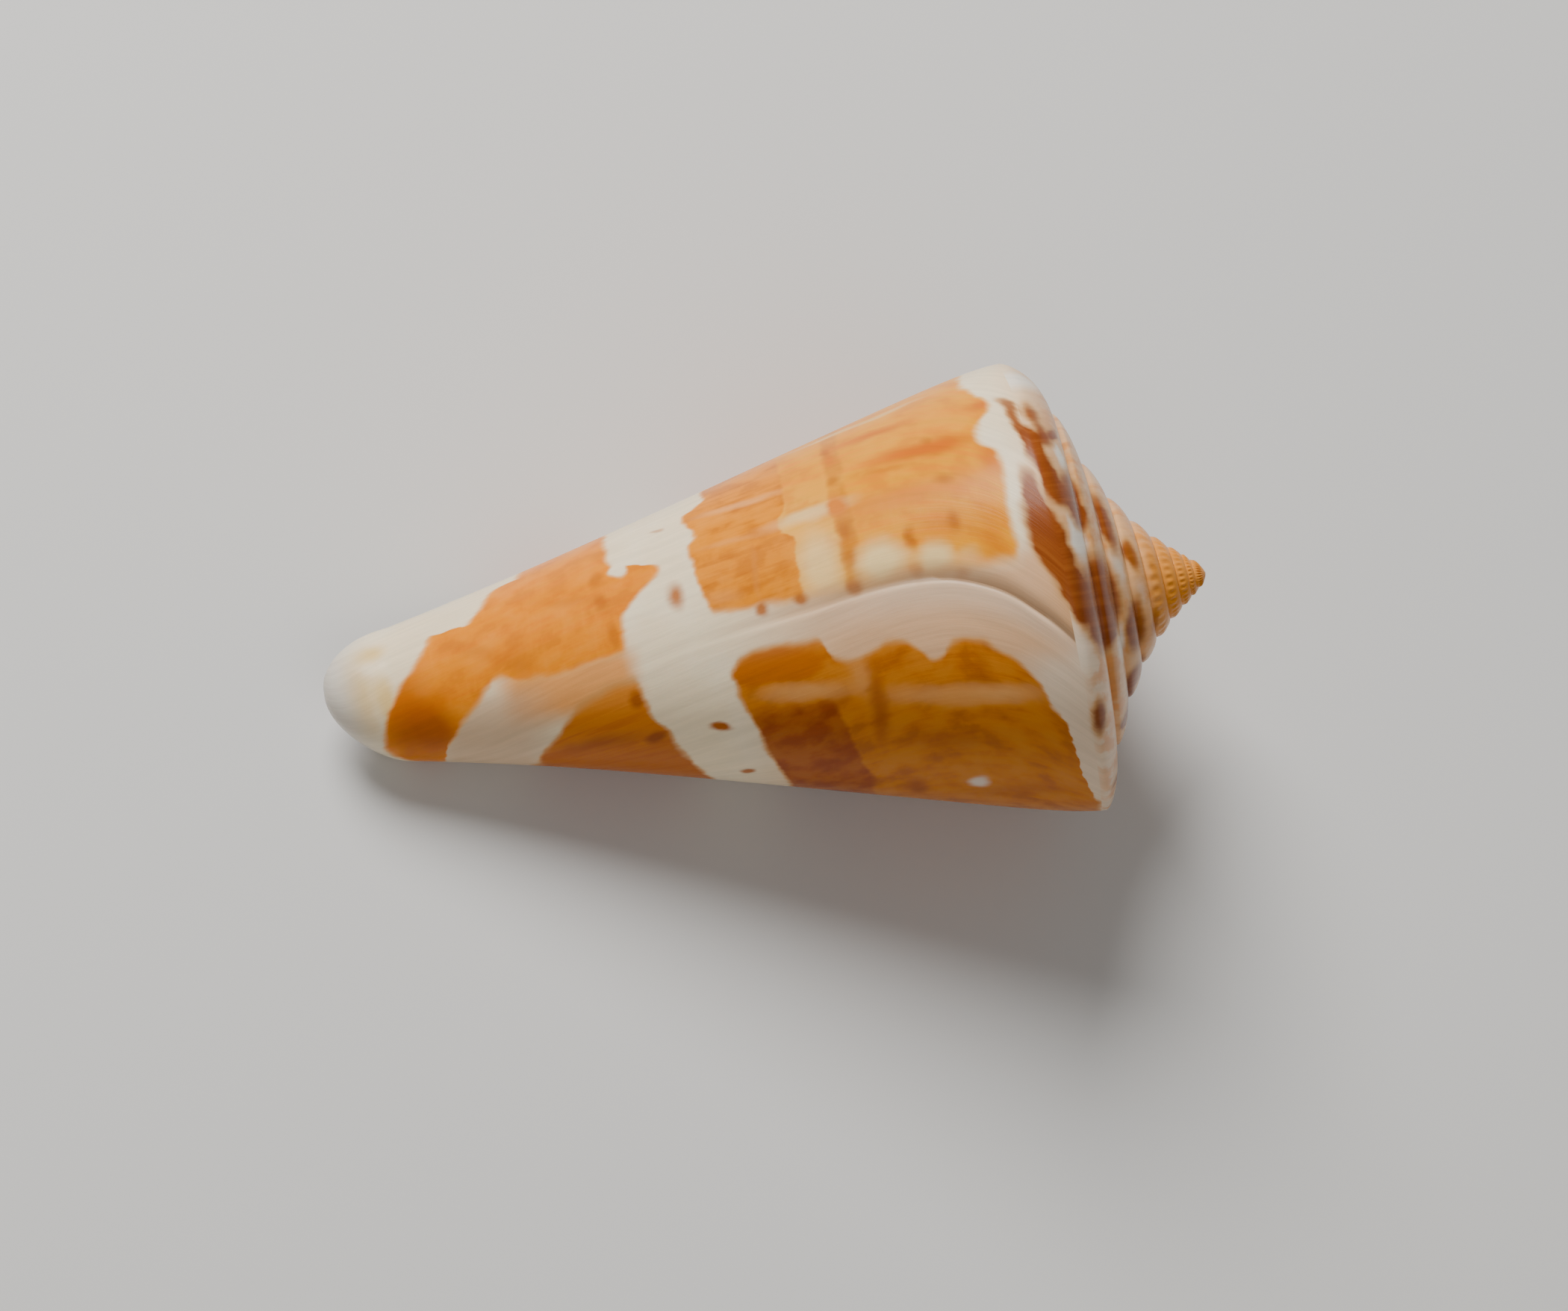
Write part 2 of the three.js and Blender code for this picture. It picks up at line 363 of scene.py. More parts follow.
def place(size, point, age, advance=0):
    """A point of the wall in space, in metres: X along the coil axis, angles from +Z towards +Y."""
    radius, height = point
    angle = (age * 360 + advance + LIP_TOP_ANGLE) * math.radians(1)
    lean = (1 - height / size["Tip length"]).above(0) ** LEAN_POWER
    side = radius * angle.math("SINE") + size["Tip lean side"] * lean
    back = radius * angle.math("COSINE") + size["Tip lean back"] * lean
    return vector(height.tree, height * MM, side * MM, back * MM)


@formula("Crowded columns", ["Turns"], ["Age"])
def crowded(size, turns):
    """Ages of the mesh columns, closer together at the old lip, the same in every turn."""
    full = 2 * math.pi
    wave = ((turns - size["Scar age"]) * full).math("SINE") + (size["Scar age"] * full).math("SINE")
    return [turns - wave * (SCAR_CROWDING / full)]


def ramp_spread(share):
    """Ramp rows that crowd towards the shoulder."""
    return share * (1 + RAMP_CROWDING - RAMP_CROWDING * share)


def flank_spread(share):
    """Flank rows that crowd towards the shoulder and the front tip."""
    full = 2 * math.pi
    return share - (share * full).math("SINE") * (FLANK_CROWDING / full)


def vector(tree, *parts):
    return add(tree, "ShaderNodeCombineXYZ", parts).outputs[0]


def separated(tree, spot):
    """The three numbers of a place."""
    return [Value(tree, part) for part in add(tree, "ShaderNodeSeparateXYZ", [spot]).outputs]


def grid(tree, columns, rows):
    """A sheet of the mesh, with its columns and rows as numbers from 0 to 1."""
    inputs = {"Size X": 1, "Size Y": 1, "Vertices X": columns, "Vertices Y": rows}
    made = add(tree, "GeometryNodeMeshGrid", inputs)
    across, up, flat = separated(tree, add(tree, "GeometryNodeInputPosition").outputs[0])
    return made.outputs["Mesh"], across + 0.5, up + 0.5


def moved(tree, mesh, spot):
    return add(tree, "GeometryNodeSetPosition", {"Geometry": mesh, "Position": spot}).outputs[0]


def join(tree, meshes):
    made = tree.nodes.new("GeometryNodeJoinGeometry")
    for mesh in reversed(meshes):
        tree.links.new(mesh, made.inputs[0])
    return made.outputs[0]


def painted(tree, mesh, material, where=True):
    inputs = {"Geometry": mesh, "Selection": where, "Material": material}
    return add(tree, "GeometryNodeSetMaterial", inputs).outputs[0]


def turned(tree, mesh, shift_mm, turn, scale_mm):
    """Scales, turns and moves a mesh; the shift and the scale are in millimetres."""
    inputs = {
        "Geometry": mesh,
        "Translation": [part * MM for part in shift_mm],
        "Rotation": turn,
        "Scale": [part * MM for part in scale_mm],
    }
    return add(tree, "GeometryNodeTransform", inputs).outputs[0]


def cut(tree, body, tools):
    made = add(tree, "GeometryNodeMeshBoolean", operation="DIFFERENCE", solver="MANIFOLD")
    tree.links.new(body, made.inputs["Mesh 1"])
    for tool in reversed(tools):
        tree.links.new(tool, made.inputs["Mesh 2"])
    return made.outputs["Mesh"]


def ramp_course(size, counts, up, age):
    """Points of the ramp's rows, with a last row where the next whorl attaches."""
    share = up * (counts["Ramp rows"] + 1) / counts["Ramp rows"]
    past_end = share.math("GREATER_THAN", LAST_ROW)
    on_ramp = ramp_point(size, ramp_spread(share.share()), age)
    return [past_end.blend(a, b) for a, b in zip(on_ramp, attach_point(size, age))]


def flank_sheet(tree, size, mesh, up, age):
    share = flank_spread(1 - up)
    spot = place(size, flank_point(size, share, age), age, lip_advance(size, share))
    return moved(tree, mesh, spot)


def outer_form(tree, size, counts, on_body, on_spire):
    """The spiral ramp, the last whorl's flank, and a plain wall across the lip."""
    turns = -size["First age"]
    ramp_rows, flank_rows = counts["Ramp rows"] + 2, counts["Flank rows"] + 1
    mesh, across, up = grid(tree, turns * counts["Steps per turn"] + 1, ramp_rows)
    age = crowded(size, (across - 1) * turns)
    ramp = moved(tree, mesh, place(size, ramp_course(size, counts, up, age), age))
    mesh, across, up = grid(tree, counts["Steps per turn"] + 1, flank_rows)
    flank = flank_sheet(tree, size, mesh, up, crowded(size, across - 1))
    mesh, across, up = grid(tree, 2, flank_rows)
    lip = flank_sheet(tree, size, mesh, up, across - 1)
    mesh, across, up = grid(tree, 2, ramp_rows)
    zero = across * 0
    ends = zip(attach_point(size, zero - 1), ramp_course(size, counts, up, zero))
    top = moved(tree, mesh, place(size, [across.blend(a, b) for a, b in ends], zero))
    caps = add(tree, "GeometryNodeFlipFaces", [join(tree, [lip, top])]).outputs[0]
    body = painted(tree, join(tree, [flank, caps]), on_body)
    whole = {"Geometry": join(tree, [painted(tree, ramp, on_spire), body]), "Distance": WELD}
    return add(tree, "GeometryNodeMergeByDistance", whole).outputs[0]


@formula("Wall", ["Height", "Age"], ["Thickness"])
def wall_at(size, height, age):
    by_lip = (-age / size["Lip thinning turns"]).ease().blend(size["Lip wall"], size["Wall"])
    return [height.ease(0, TIP_WALL_HEIGHT).blend(size["Lip wall"] * TIP_WALL, by_lip)]


@formula("Inner radius", ["Height", "Age"], ["Radius"])
def inner_radius(size, height, age):
    """Radius of the whorl within, which tapers to the columella's end."""
    taper = ((height - size["Columella end"]) / size["Columella taper"]).share() ** 0.5
    return [flank_radius(size, height, age - 1) * taper]


def cavity_form(tree, size, counts):
    """The room in the last whorl: its far sheet inside the wall, its near sheet on the whorl within."""
    made = add(tree, "GeometryNodeMeshCube", {
        "Size": (1, 1, 1),
        "Vertices X": counts["Cavity columns"],
        "Vertices Y": counts["Cavity rows"],
        "Vertices Z": 2,
    })
    parts = separated(tree, add(tree, "GeometryNodeInputPosition").outputs[0])
    along, down, far = [part + 0.5 for part in parts]
    age = along.blend(size["Cavity back age"], size["Cavity front age"])
    grown = age.below(0)
    on_ramp = down.math("LESS_THAN", CAVITY_RAMP_SHARE)
    ramp_share = (down / CAVITY_RAMP_SHARE).share().blend(*CAVITY_RAMP)
    flank_part = ((down - CAVITY_RAMP_SHARE) / (1 - CAVITY_RAMP_SHARE)).share()
    flank_share = CAVITY_TOP - CAVITY_REACH * flank_part ** CAVITY_CROWDING

    # Far sheet
    radius, height = ramp_point(size, ramp_share, grown)
    wall = wall_at(size, height, age)
    side = ((ramp_share - 0.5) * 2).ease()
    far_ramp = radius - wall * side, height - wall * (FAR_WALLS - side)
    attached_height = attach_point(size, grown)[1]
    height = flank_share * attached_height
    radius = flank_radius(size, height, grown) * tip_share(size, height) - wall_at(size, height, age)
    far_flank = radius.above(inner_radius(size, height, age) + SHEET_GAP), height

    # Near sheet
    suture_height = attach_point(size, grown - 1)[1]
    sunk = (age / size["Cavity front age"]).share().blend(-size["Floor cut"], size["Floor exit"])
    height = suture_height - size["Wall"] * (NEAR_WALLS + ramp_share)
    near_ramp = inner_radius(size, height, age) + sunk, height
    top = suture_height - size["Wall"] * NEAR_FLANK_WALLS
    height = (flank_share * attached_height).below(top - NEAR_DROP + flank_share)
    near_flank = (inner_radius(size, height, age) + sunk).above(AXIS_GAP), height

    opening = size["Cavity full age"] - size["Cavity back age"]
    opened = ((age - size["Cavity back age"]) / opening).ease()
    far_point = [on_ramp.blend(b, a) for a, b in zip(far_ramp, far_flank)]
    near_point = [on_ramp.blend(b, a) for a, b in zip(near_ramp, near_flank)]
    part = [opened.blend(CLOSED_WIDTH, 1), opened]
    far_point = [p.blend(n, f) for p, n, f in zip(part, near_point, far_point)]
    point = [far.blend(n, f) for n, f in zip(near_point, far_point)]
    share = on_ramp.blend(flank_share.above(0), 1)
    return moved(tree, made.outputs["Mesh"], place(size, point, age, lip_advance(size, share)))


def coil_point(height, radius, angle):
    """A point beside the coil axis, in metres in the part's frame; the angle is in degrees from +Z to +Y."""
    turn = math.radians(angle)
    flat = Vector((height, radius * math.sin(turn), radius * math.cos(turn)))
    lifted = Matrix.Rotation(-math.radians(APEX_LIFT), 3, "Y") @ flat
    return (lifted + REST_SHIFT) * MM


def coil_axis():
    return (coil_point(1, 0, 0) - coil_point(0, 0, 0)) / MM


def coil_side(angle):
    """Direction away from the coil axis, at an angle in degrees from +Z to +Y."""
    return (coil_point(0, 1, angle) - coil_point(0, 0, 0)) / MM


def before_band(tree, skin):
    """Picks the faces of one skin in front of the white band's middle, where two skins can meet unseen."""
    position = add(tree, "GeometryNodeInputPosition").outputs[0]
    from_tip = [position, REST_SHIFT * MM]
    spot = add(tree, "ShaderNodeVectorMath", from_tip, operation="SUBTRACT").outputs[0]
    parts = []
    for along in (coil_axis(), coil_side(VIEW_ANGLE + 90)):
        reach = add(tree, "ShaderNodeVectorMath", [spot, along / MM], operation="DOT_PRODUCT")
        parts.append(Value(tree, reach.outputs["Value"]))
    height, across = parts
    leaning = height + (across - BAND_BEND).below(0) * BAND_SLOPE
    of_skin = Value(tree, add(tree, "GeometryNodeMaterialSelection", [skin]).outputs[0])
    return leaning.math("LESS_THAN", BAND_MIDDLE) * of_skin


def socket_input(tree, kind, name, value):
    made = tree.interface.new_socket(name, in_out="INPUT", socket_type=kind)
    made.default_value = value
    return made.identifier


def shell_tree(skins, inside):
    """The whole shell, and the identifiers of its inputs."""
    tree = bpy.data.node_groups.new("Cone shell growth", "GeometryNodeTree")
    tree.interface.new_socket("Geometry", in_out="OUTPUT", socket_type="NodeSocketGeometry")
    places = {name: socket_input(tree, "NodeSocketFloat", name, value) for name, value in SHELL.items()}
    for name, value in COUNTS.items():
        places[name] = socket_input(tree, "NodeSocketInt", name, value)
    start = tree.nodes.new("NodeGroupInput")
    end = tree.nodes.new("NodeGroupOutput")
    size = {name: Value(tree, start.outputs[name]) for name in SHELL}
    counts = {name: Value(tree, start.outputs[name]) for name in COUNTS}
    on_front, on_body, on_spire = skins

    # The hollow shell
    outer = outer_form(tree, size, counts, on_body, on_spire)
    cavity = painted(tree, cavity_form(tree, size, counts), inside)
    ball = add(tree, "GeometryNodeMeshUVSphere", {"Segments": 64, "Rings": 40, "Radius": 1})
    tilt = (0, math.radians(SCOOP_TILT), 0)
    scoop = turned(tree, ball.outputs["Mesh"], SCOOP_CENTRE, tilt, SCOOP_SIZE)
    hollow = cut(tree, outer, [cavity, painted(tree, scoop, inside)])

    # Laid on its aperture side, with the flat that it rests on
    resting = turned(tree, hollow, REST_SHIFT, (0, -math.radians(APEX_LIFT), 0), UNSCALED)
    ground = add(tree, "GeometryNodeMeshCube", {"Size": GROUND_SIZE}).outputs["Mesh"]
    ground = turned(tree, ground, (0, 0, -GROUND_DEPTH), (0, 0, 0), UNSCALED)
    level = cut(tree, resting, [painted(tree, ground, on_body)])

    # Smooth faces with crisp corners
    smooth = {"Geometry": level, "Shade Smooth": True}
    smooth = add(tree, "GeometryNodeSetShadeSmooth", smooth).outputs[0]
    bend = Value(tree, add(tree, "GeometryNodeInputMeshEdgeAngle").outputs[0])
    corner = bend.math("GREATER_THAN", SHARP_BEND)
    corners = {"Geometry": smooth, "Selection": corner, "Shade Smooth": False}
    edged = add(tree, "GeometryNodeSetShadeSmooth", corners, domain="EDGE").outputs[0]
    real = add(tree, "GeometryNodeRealizeInstances", {"Geometry": edged}).outputs[0]
    tree.links.new(painted(tree, real, on_front, before_band(tree, on_body)), end.inputs[0])
    return tree, places


def new_object(name, data):
    made = bpy.data.objects.new(name, data)
    bpy.context.scene.collection.objects.link(made)
    return made


def grow_shell(skins, inside):
    """Runs the tree once and keeps the result as a plain mesh."""
    tree, places = shell_tree(skins, inside)
    body = new_object("shell_growth", bpy.data.meshes.new("shell_growth"))
    growth = body.modifiers.new("Cone shell growth", "NODES")
    growth.node_group = tree
    for name, place_id in places.items():
        growth[place_id] = float(SHELL[name]) if name in SHELL else COUNTS[name]
    bpy.context.view_layer.update()
    grown = body.evaluated_get(bpy.context.evaluated_depsgraph_get())
    mesh = bpy.data.meshes.new_from_object(grown)
    mesh.name = "cone_shell"
    bpy.data.objects.remove(body)
    return new_object("cone_shell", mesh)


# The finish: a soft gloss with hardly any mirror, and light that sinks 0.7 mm in, reddest deepest
GLAZE = {
    "Roughness": 0.26,
    "Subsurface Weight": 0.1,
    "Subsurface Radius": (1.0, 0.55, 0.3),
    "Subsurface Scale": 0.7 * MM,
    "Specular IOR Level": 0.11,
    "Coat Weight": 0.05,
    "Coat Roughness": 0.12,
}
PORCELAIN = {"Roughness": 0.25, "Subsurface Weight": 0.15, "Subsurface Scale": 0.8 * MM}
ROOM_LIGHT = 0.17
FLOOR_HALF = 2.0

# Where the lip's top end is, in degrees from the front, and the slack past it before a turn begins again
LIP_ANGLE = LIP_TOP_ANGLE - VIEW_ANGLE
LIP_SLACK = 20
GROWTH_SLACK = 2
# Height in mm of the last whorl's top, and how it falls towards the lip after an age
TOP_HEIGHT, TOP_FALL, TOP_AGE = 33.9, 3.3, -0.9
# How fast the markings run back up on the underside
FOOT_FOLD = 1.72
# How much wider the shell is towards the lip, how far above the axis the markings' middle line lies in mm,
# and the sine of the angle that counts as edge-on
LIP_WIDENING = 0.115
MIDDLE_LINE = 0.14
EDGE_ON = 0.985
# Millimetres that the edges of markings cover across and along the shell
ACROSS_ENDS = (-16, 16)
HEIGHT_ENDS = (-1, 41)

# Parts of the noises that show, and how a patch of pigment starts with its rim and then fills
STREAKS = (0.42, 0.66)
BROWN_STREAKS = (0.42, 0.62)
LIGHT_BLOTCH = (0.46, 0.66)
DARK_BLOTCH = (-0.5, -0.34)
RIM, FILL, RIM_STRENGTH = (0, 0.55), (0.3, 1), 0.8

# Straight borders of the markings, of the painted shade and highlight, and the lip's course, in mm along the
# coil axis or across it
TIP_SHADE_END = 1.6
PEACH_ALONG, PEACH_ACROSS = (8.2, 14.0), (-1.6, 1.0)
# Heights and top edge of the painted shade on the underside behind the front patch
SHADE_ALONG, SHADE_TOP = (4.6, 9.6), 0.4
LOWER_LEFT, LOWER_MIDDLE = (8.0, 9.6), -2.6
FIELD_LEFT, FIELD_FOOT = 20.9, 1.9
PALE_STRIP, PALE_STRIP_TOP = (21.2, 23.8), 7.5
DEEP_STRIP = (23.75, 24.5)
BLOCK_FOOT = 1.85
WARM_TOP = 3.2
OLD_RIGHT, DARK_TOP = 33.4, -2.9
# The old lip's painted shade and painted highlight: where along the shell they show, and their widths in mm
SCAR_ALONG, SCAR_TOP = (16, 29), 35.5
GROOVE_SHADE_WIDTH, RIDGE_HIGHLIGHT_WIDTH = 1.3, 1.8
APEX_ORANGE = (35.6, 38.4)

# Markings as the eye finds them from the front. Edges are lists of height and distance across, and marks
# are height, distance across, half sizes, turn, softness and strength, all from the coil axis in mm and
# degrees. Softness and strength are shares of 1
TIP_TINTS = [
    (1.4, 1.0, 0.6, 1.7, 10, 0.8, 0.9), (2.6, 0.2, 0.4, 1.3, 10, 0.8, 0.8), (2.2, 2.4, 0.6, 0.5, 0, 0.8, 0.8),
]
FRONT_LEFT = [
    (4.2, -3.1), (3.1, -2.6), (2.3, -1.7), (2.4, -0.8), (2.85, 0), (3.45, 1), (4.0, 1.6), (4.6, 2.3),
    (5.1, 2.8), (6.6, 3.0), (7.4, 3.7), (8.0, 4.3), (9.6, 4.75),
]
FRONT_RIGHT = [
    (13.7, -3), (13.7, 1), (13.8, 2.0), (14.1, 2.6), (14.7, 3.2), (15.4, 3.9), (15.6, 4.25), (15.0, 4.5),
    (13.5, 4.75), (13.35, 5.3), (13.6, 6.1),
]
FRONT_FOOT = [
    (2, -3.4), (4.4, -3.0), (5.0, -2.2), (5.8, -1.3), (6.6, -0.6), (7.4, 0.1), (8.0, 0.5), (8.7, 0.1),
    (9.6, 0.2), (11, 0.25), (13, 0.5), (16, 0.9),
]
FRONT_DEEP = [
    (3.6, -0.9, 1.2, 2.2, 12, 0.9, 0.9), (4.8, -1.4, 0.8, 1.2, 20, 0.9, 0.5),
    (12.9, 4.1, 0.3, 0.45, 0, 0.6, 0.6), (12.9, 3.1, 0.28, 0.5, 0, 0.6, 0.55),
    (13.2, 1.4, 0.25, 0.6, 0, 0.6, 0.55), (8.9, 1.1, 0.5, 0.9, 0, 0.9, 0.3),
    (11.5, 3.4, 1.6, 0.25, -12, 0.9, 0.35), (7.2, 1.7, 1.8, 0.3, -25, 0.9, 0.3),
]
FRONT_WHITE = [(13.8, 4.45, 0.4, 0.55, 0, 0.4, 1)]
LOWER_TOP = [
    (0, -4.5), (8.2, -3.7), (9.2, -3.2), (10.0, -2.5), (10.6, -1.8), (11.5, -1.1), (12.6, -0.8), (13.6, -0.7),
    (16, -0.8), (40, -1),
]
LOWER_RIGHT = [
    (13.9, 0), (13.9, -0.9), (14.1, -1.8), (14.4, -2.5), (15.0, -3.3), (15.3, -4.1), (15.9, -4.8),
    (16.6, -5.6),
]
LOWER_DEEP = [
    (13.7, -1.5, 0.35, 0.35, 0, 0.6, 0.7), (14.4, -3.4, 0.4, 0.3, 0, 0.6, 0.8),
    (11.8, -3.2, 1.7, 0.35, 6, 0.9, 0.5),
]
BLOCK_LEFT = [
    (17.7, 1.5), (17.5, 2.6), (17.25, 4), (17.2, 5), (17.6, 5.45), (17.1, 5.9), (17.0, 6.3), (17.5, 6.6),
    (18.2, 7.0),
]
BLOCK_RIGHT = [(21.95, 1.5), (21.95, 3), (22.0, 4.5), (21.3, 5.2), (21.6, 5.75), (21.8, 6.2), (21.8, 7.7)]
BLOCK_PALE = [
    (19.8, 6.5, 1.7, 0.22, 4, 0.9, 0.8), (21.9, 5.4, 1.3, 0.3, 8, 0.6, 0.8),
    (20.0, 3.2, 0.14, 1.4, 0, 0.9, 0.12), (18.2, 2.4, 0.8, 0.35, 0, 0.9, 0.3),
    (19.2, 4.9, 1.2, 0.12, 3, 0.9, 0.35),
]
FIELD_RIGHT = [
    (32.0, 1.2), (31.9, 2.5), (31.8, 4), (31.8, 5.5), (31.6, 6.9), (31.0, 7.6), (31.0, 8.3), (31.6, 9.2),
    (31.0, 9.8), (30.6, 10.2),
]
FIELD_PALE = [
    (24.0, 8.9, 1.2, 0.2, 15, 0.95, 0.55), (26.8, 9.6, 1.6, 0.22, 14, 0.95, 0.5),
    (25.7, 2.8, 1.1, 0.95, 0, 0.6, 0.95), (28.1, 2.5, 0.75, 0.8, 0, 0.6, 0.9),
    (22.9, 5.5, 1.6, 0.35, 8, 0.7, 0.8), (22.9, 3, 0.8, 1.6, 0, 0.7, 0.7), (29.6, 2.4, 0.5, 0.4, 0, 0.8, 0.4),
]
FIELD_PINK = [
    (27.2, 5.6, 3.2, 0.5, 2, 0.9, 0.7), (24.1, 5.7, 0.35, 0.5, 0, 0.8, 0.9),
    (28.8, 4.2, 1.3, 0.7, 0, 0.9, 0.45),
]
FIELD_DEEP = [
    (28.4, 7.6, 2.1, 0.5, 0, 0.7, 1), (31.3, 6.6, 0.4, 0.8, 10, 0.8, 0.7), (31.2, 9.2, 0.6, 0.4, 0, 0.8, 0.8),
    (26, 8.7, 1.8, 0.3, 12, 0.9, 0.8), (30.9, 3.2, 0.4, 1.8, 0, 0.9, 0.35),
    (24.1, 7.9, 0.3, 0.6, 0, 0.8, 0.7), (26.7, 6.9, 0.7, 0.2, 0, 0.9, 0.5),
]
# Spots near the border between the front skin and the body, drawn on both
BORDER_SPOTS = [
    (16.2, 2.8, 0.3, 0.55, 8, 0.8, 0.9), (17.3, -3.4, 0.42, 0.24, -10, 0.5, 1),
    (18.2, -5.5, 0.32, 0.2, -10, 0.5, 0.9),
]
BAND_SPOTS = [(15.85, 5.9, 0.28, 0.14, 0, 0.6, 0.55), *BORDER_SPOTS]
SPOTS = [
    *BORDER_SPOTS, (20.0, 1.55, 0.28, 0.28, 0, 0.7, 0.9), (21.8, 1.75, 0.28, 0.28, 0, 0.7, 0.9),
    (24.2, 1.95, 0.3, 0.3, 0, 0.7, 0.9), (24.2, 4.6, 0.28, 0.45, 0, 0.8, 0.7),
    (24.15, 6.8, 0.25, 0.35, 0, 0.8, 0.6), (24.2, 3.2, 0.22, 0.6, 0, 0.8, 0.5),
    (27.15, 3.7, 0.22, 0.5, 0, 0.8, 0.75), (27.2, 2.0, 0.25, 0.3, 0, 0.8, 0.5),
    (28.5, 8.0, 0.2, 0.25, 0, 0.8, 0.5), (29.1, 6.1, 0.35, 0.3, 0, 0.9, 0.6),
    (29.2, 4.1, 0.3, 0.4, 0, 0.9, 0.7), (29.3, 1.6, 0.3, 0.25, 0, 0.9, 0.5),
    (24.0, 8.2, 0.2, 0.3, 0, 0.8, 0.6),
]
OLD_TOP = [
    (0, -0.6), (18.0, -0.9), (18.6, -0.4), (20.4, -0.25), (22.3, -0.35), (22.9, -1.3), (23.8, -1.4),
    (24.5, -1.1), (25.3, -0.85), (26.1, -0.95), (26.7, -1.5), (27.3, -2.0), (27.9, -1.6), (28.6, -1.25),
    (29.4, -1.35), (30.1, -1.8), (30.8, -2.5), (31.4, -3.3), (32.0, -4.3), (32.5, -5.3), (32.9, -6.8),
    (33.1, -8.4), (33.5, -9.5), (40, -9.6),
]
OLD_LEFT = [
    (18.0, 1), (18.0, -0.7), (18.3, -1.5), (18.5, -2.6), (18.8, -3.6), (19.1, -4.7), (19.7, -5.5),
    (20.0, -6.4),
]
DARK_RIGHT = [(22.2, -2.8), (22.8, -3.8), (23.1, -5.2), (23.7, -6.8)]
OLD_ORANGE = [(20.2, -1.15, 2.1, 0.72, -1, 0.2, 0.95)]
OLD_PALE = [
    (21.3, -2.45, 1.9, 0.4, -4, 0.8, 0.75), (27.6, -3.6, 2.9, 0.45, -8, 0.9, 0.7),
    (30.5, -4.0, 1.4, 0.4, -16, 0.9, 0.5), (24.0, -2.1, 0.5, 0.7, 0, 0.9, 0.5),
]
OLD_DEEP = [
    (24.5, -3.6, 0.3, 1.6, 0, 0.9, 0.7), (25.6, -7.4, 0.4, 0.8, 10, 0.8, 0.8),
    (29.4, -2.4, 0.35, 0.7, 0, 0.9, 0.4), (27.5, -5.6, 1.6, 0.5, -10, 0.9, 0.4),
    (30.0, -8.2, 1.8, 0.5, -6, 0.9, 0.4), (25.5, -1.7, 0.6, 0.4, 0, 0.9, 0.3),
]
OLD_WHITE = [(28.4, -7.6, 0.4, 0.38, 0, 0.6, 0.9)]
FLAMES = [
    (32.5, 8.9, 0.3, 0.9, 20, 0.7, 0.8), (33.0, 7.6, 0.28, 1.2, 18, 0.6, 0.9),
    (33.4, 6.3, 0.4, 1.2, 14, 0.6, 0.95), (33.75, 4.9, 0.35, 1.0, 12, 0.6, 0.9),
    (32.9, 4.9, 0.35, 1.2, 10, 0.6, 0.9), (33.2, 3.0, 0.7, 1.7, 12, 0.5, 1),
    (33.7, 1.0, 0.65, 1.7, 13, 0.6, 1), (34.15, -0.6, 0.5, 1.4, 16, 0.6, 1),
    (34.05, -5.6, 0.4, 0.9, -5, 0.6, 0.9), (33.5, 8.3, 0.35, 0.8, 10, 0.9, 0.9),
    (33.7, 7.2, 0.45, 0.6, 8, 0.9, 1), (34.3, 7.2, 0.25, 0.4, 0, 0.7, 0.8),
    (34.6, 4.6, 0.6, 1.0, 10, 0.7, 0.95), (34.8, 3.5, 0.45, 0.9, 10, 0.6, 0.9),
    (35.9, 3.0, 0.4, 1.7, 8, 0.6, 0.95), (36.8, 1.3, 0.32, 0.8, 12, 0.6, 0.95),
    (35.25, -0.2, 0.85, 1.8, 3, 0.5, 1), (35.0, -2.0, 0.5, 1.0, -10, 0.6, 0.9),
    (36.5, -1.9, 0.5, 1.4, -6, 0.6, 1), (36.0, -3.9, 0.55, 1.2, -25, 0.6, 1),
    (35.4, -5.3, 0.55, 1.0, -25, 0.6, 0.95), (37.3, -1.9, 0.22, 0.8, -12, 0.7, 0.9),
    (35.2, -6.3, 0.3, 0.5, 0, 0.8, 0.6), (34.3, -9.0, 0.4, 0.35, -20, 0.7, 0.8),
    (37.8, 0.5, 0.2, 0.5, 10, 0.8, 0.7),
]
# The first nine flames run down over the shoulder
SHOULDER_FLAMES = FLAMES[:9]
SPIRE_WHITE = [
    (34.6, 2.4, 0.38, 1.2, 4, 0.5, 1), (34.35, 6.2, 0.2, 0.7, 8, 0.6, 1),
    (33.0, 10.2, 1.0, 1.0, 30, 0.7, 0.9), (35.7, -2.6, 0.28, 0.7, -10, 0.6, 0.9),
    (36.0, 0.8, 0.3, 0.8, 0, 0.7, 0.7), (34.0, -2.4, 0.5, 0.9, 0, 0.8, 0.5),
    (36.9, -0.6, 0.25, 0.6, 0, 0.8, 0.6), (33.0, 1.4, 0.4, 0.9, 10, 0.7, 0.8),
]
# Radius of the shell against the height, halfway between its widest and its narrowest side
OUTLINE = [
    (0, 1.2), (1, 2.1), (3, 3.0), (5, 3.4), (13.6, 5.48), (30, 9.8), (32.5, 10.2), (34.2, 8.7), (35, 6.2),
    (36, 4.2), (37, 2.9), (38, 1.8), (39, 1.0), (40, 0.5),
]


def linear(hex_colour):
    """An sRGB colour such as E9DCC0 as linear red, green, blue and alpha."""
    parts = [int(hex_colour[i:i + 2], 16) / 255 for i in (0, 2, 4)]
    return (*[p / 12.92 if p <= 0.04045 else ((p + 0.055) / 1.055) ** 2.4 for p in parts], 1)


def body_radius(height, across):
    """Radius of the shell at a height, wider towards the lip, near enough to place the markings."""
    at, radius = zip(*OUTLINE)
    step = max(1, min(len(at) - 1, sum(height > low for low in at)))
    share = (height - at[step - 1]) / (at[step] - at[step - 1])
    middle = radius[step - 1] + share * (radius[step] - radius[step - 1])
    return middle * (1 + LIP_WIDENING * max(-1, min(1, across / middle)))


def sideways(height, across):
    """Sine of the angle from the front at which a mark lies."""
    return max(-EDGE_ON, min(EDGE_ON, across / body_radius(height, across)))


